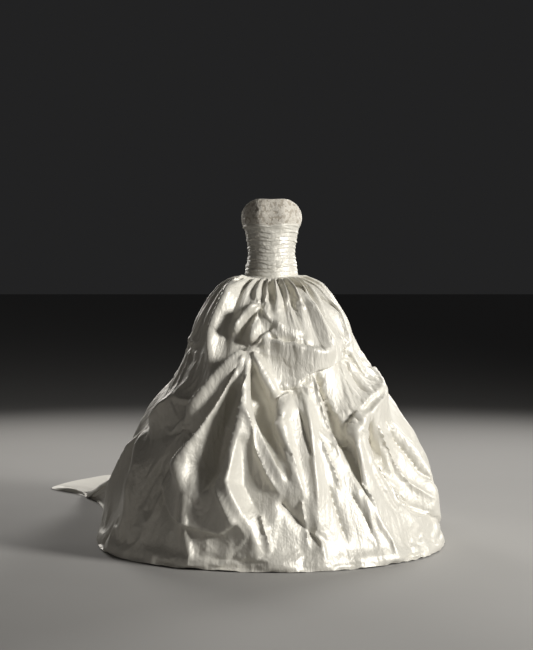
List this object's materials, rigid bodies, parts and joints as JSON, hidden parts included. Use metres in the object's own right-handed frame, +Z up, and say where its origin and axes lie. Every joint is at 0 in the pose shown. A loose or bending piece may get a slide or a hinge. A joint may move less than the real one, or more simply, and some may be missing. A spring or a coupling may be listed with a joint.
{
  "type": "ball gown",
  "caption": "Strapless ball gown with a beaded lace bust band, a ruched midriff and a full gathered pick-up skirt that sweeps into a train behind.",
  "frame": {"origin": "middle of the natural waist, inside the bodice, where the wearer holds the gown up", "axes": "+Z up, -Y the way the gown faces, +X the wearer's left; the train runs back towards +Y and the wearer's right"},
  "size_m": [1.8702, 2.8141, 1.4575],
  "materials": {
    "beaded_lace": "ivory lace with small pearls and beads",
    "ivory_taffeta": "crisp ivory taffeta with a soft sheen",
    "covered_button": "satin-covered button"
  },
  "bodies": {
    "root": {"lace_band_front": "beaded_lace", "lace_band_back_left": "beaded_lace", "lace_band_back_right": "beaded_lace", "midriff_front": "ivory_taffeta", "midriff_back_left": "ivory_taffeta", "midriff_back_right": "ivory_taffeta", "skirt_train_right": "ivory_taffeta", "skirt_back_side_right": "ivory_taffeta", "skirt_side_right": "ivory_taffeta", "skirt_front_side_right": "ivory_taffeta", "skirt_front": "ivory_taffeta", "skirt_front_side_left": "ivory_taffeta", "skirt_side_left": "ivory_taffeta", "skirt_back_side_left": "ivory_taffeta", "skirt_train_left": "ivory_taffeta", "button_01": "covered_button", "button_02": "covered_button", "button_03": "covered_button", "button_04": "covered_button", "button_05": "covered_button", "button_06": "covered_button", "button_07": "covered_button", "button_08": "covered_button", "button_09": "covered_button", "button_10": "covered_button", "button_11": "covered_button"}
  },
  "joints": []
}
